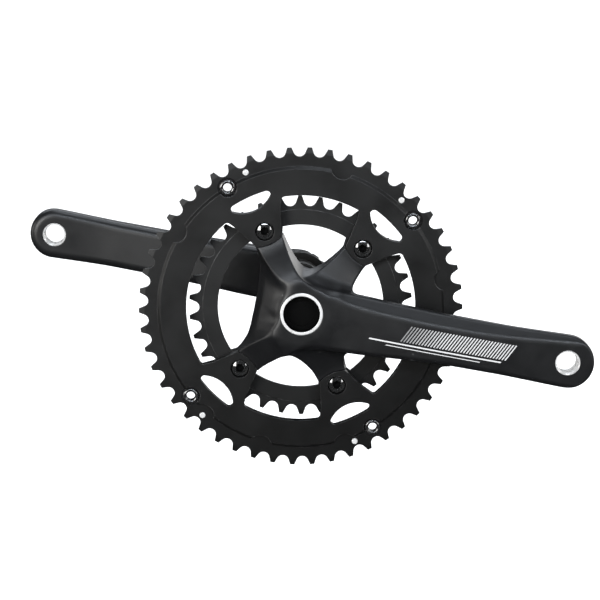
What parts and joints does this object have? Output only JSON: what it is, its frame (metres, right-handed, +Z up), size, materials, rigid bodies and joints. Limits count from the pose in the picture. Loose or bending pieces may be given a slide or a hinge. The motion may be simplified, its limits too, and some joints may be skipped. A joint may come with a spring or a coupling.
{
  "type": "bicycle crankset",
  "caption": "Road bicycle double crankset: spidered right arm with two chainrings, hollow spindle, clamped left arm and a threaded external-cup bottom bracket.",
  "frame": {"origin": "on the spindle axis, in the bicycle's centre plane, midway between the two shell faces", "axes": "+X forward along the bicycle, +Z up, -Y towards the drive (right) side; the right arm rests 10.34 degrees below +X"},
  "size_m": [0.3684, 0.146, 0.2058],
  "materials": {
    "arm_black": "satin black anodised, fine blasted grain",
    "ring_black": "matt black anodised with bright worn edges",
    "bolt_black": "glossy black",
    "cup_black": "satin black anodised",
    "polished_steel": "polished",
    "spindle_steel": "ground, fine turned lines",
    "bearing_steel": "ground",
    "cage_brass": "satin",
    "black_plastic": "fine moulded texture",
    "grey_plastic": "moulded",
    "black_rubber": "matt",
    "stopper_red": "moulded"
  },
  "bodies": {
    "bottom_bracket": {"right_bearing_cup": "cup_black", "left_bearing_cup": "cup_black", "right_outer_race": "bearing_steel", "left_outer_race": "bearing_steel", "right_bearing_seals": "black_rubber", "left_bearing_seals": "black_rubber", "shell_tube": "grey_plastic", "tube_seals": "black_rubber"},
    "crank": {"right_inner_race": "bearing_steel", "left_inner_race": "bearing_steel", "right_dust_sleeve": "black_plastic", "left_dust_sleeve": "black_plastic", "spindle": "spindle_steel", "spindle_plug": "black_plastic", "right_crank_arm": "arm_black", "left_crank_arm": "arm_black", "clamp_bolts": "bolt_black", "preload_cap": "black_plastic", "outer_chainring": "ring_black", "inner_chainring": "ring_black", "chainring_bolts": "bolt_black", "chainring_nuts": "bolt_black", "shift_rivets": "bolt_black", "shift_pins": "polished_steel", "chain_catch_pin": "bearing_steel"},
    "right_cage": {"right_ball_cage": "cage_brass", "right_bearing_balls": "polished_steel"},
    "left_cage": {"left_ball_cage": "cage_brass", "left_bearing_balls": "polished_steel"},
    "stopper": {"stopper_plate": "stopper_red"}
  },
  "joints": [
    {"name": "crank_spin", "type": "hinge", "parent": "bottom_bracket", "child": "crank", "pos_m": [0, 0, 0], "axis": [0, 1, 0], "continuous": true},
    {"name": "right_cage_spin", "type": "hinge", "parent": "bottom_bracket", "child": "right_cage", "pos_m": [0, -0.0409, 0], "axis": [0, 1, 0], "continuous": true},
    {"name": "left_cage_spin", "type": "hinge", "parent": "bottom_bracket", "child": "left_cage", "pos_m": [0, 0.0409, 0], "axis": [0, 1, 0], "continuous": true},
    {"name": "stopper_swing", "type": "hinge", "parent": "crank", "child": "stopper", "pos_m": [0.01918, 0.051, -0.0035], "axis": [0.1795, 0, 0.9838], "range_deg": [-12, 0]}
  ],
  "couplings": [
    {"joint": "right_cage_spin", "follows": "crank_spin", "ratio": 0.44355},
    {"joint": "left_cage_spin", "follows": "crank_spin", "ratio": 0.44355}
  ]
}
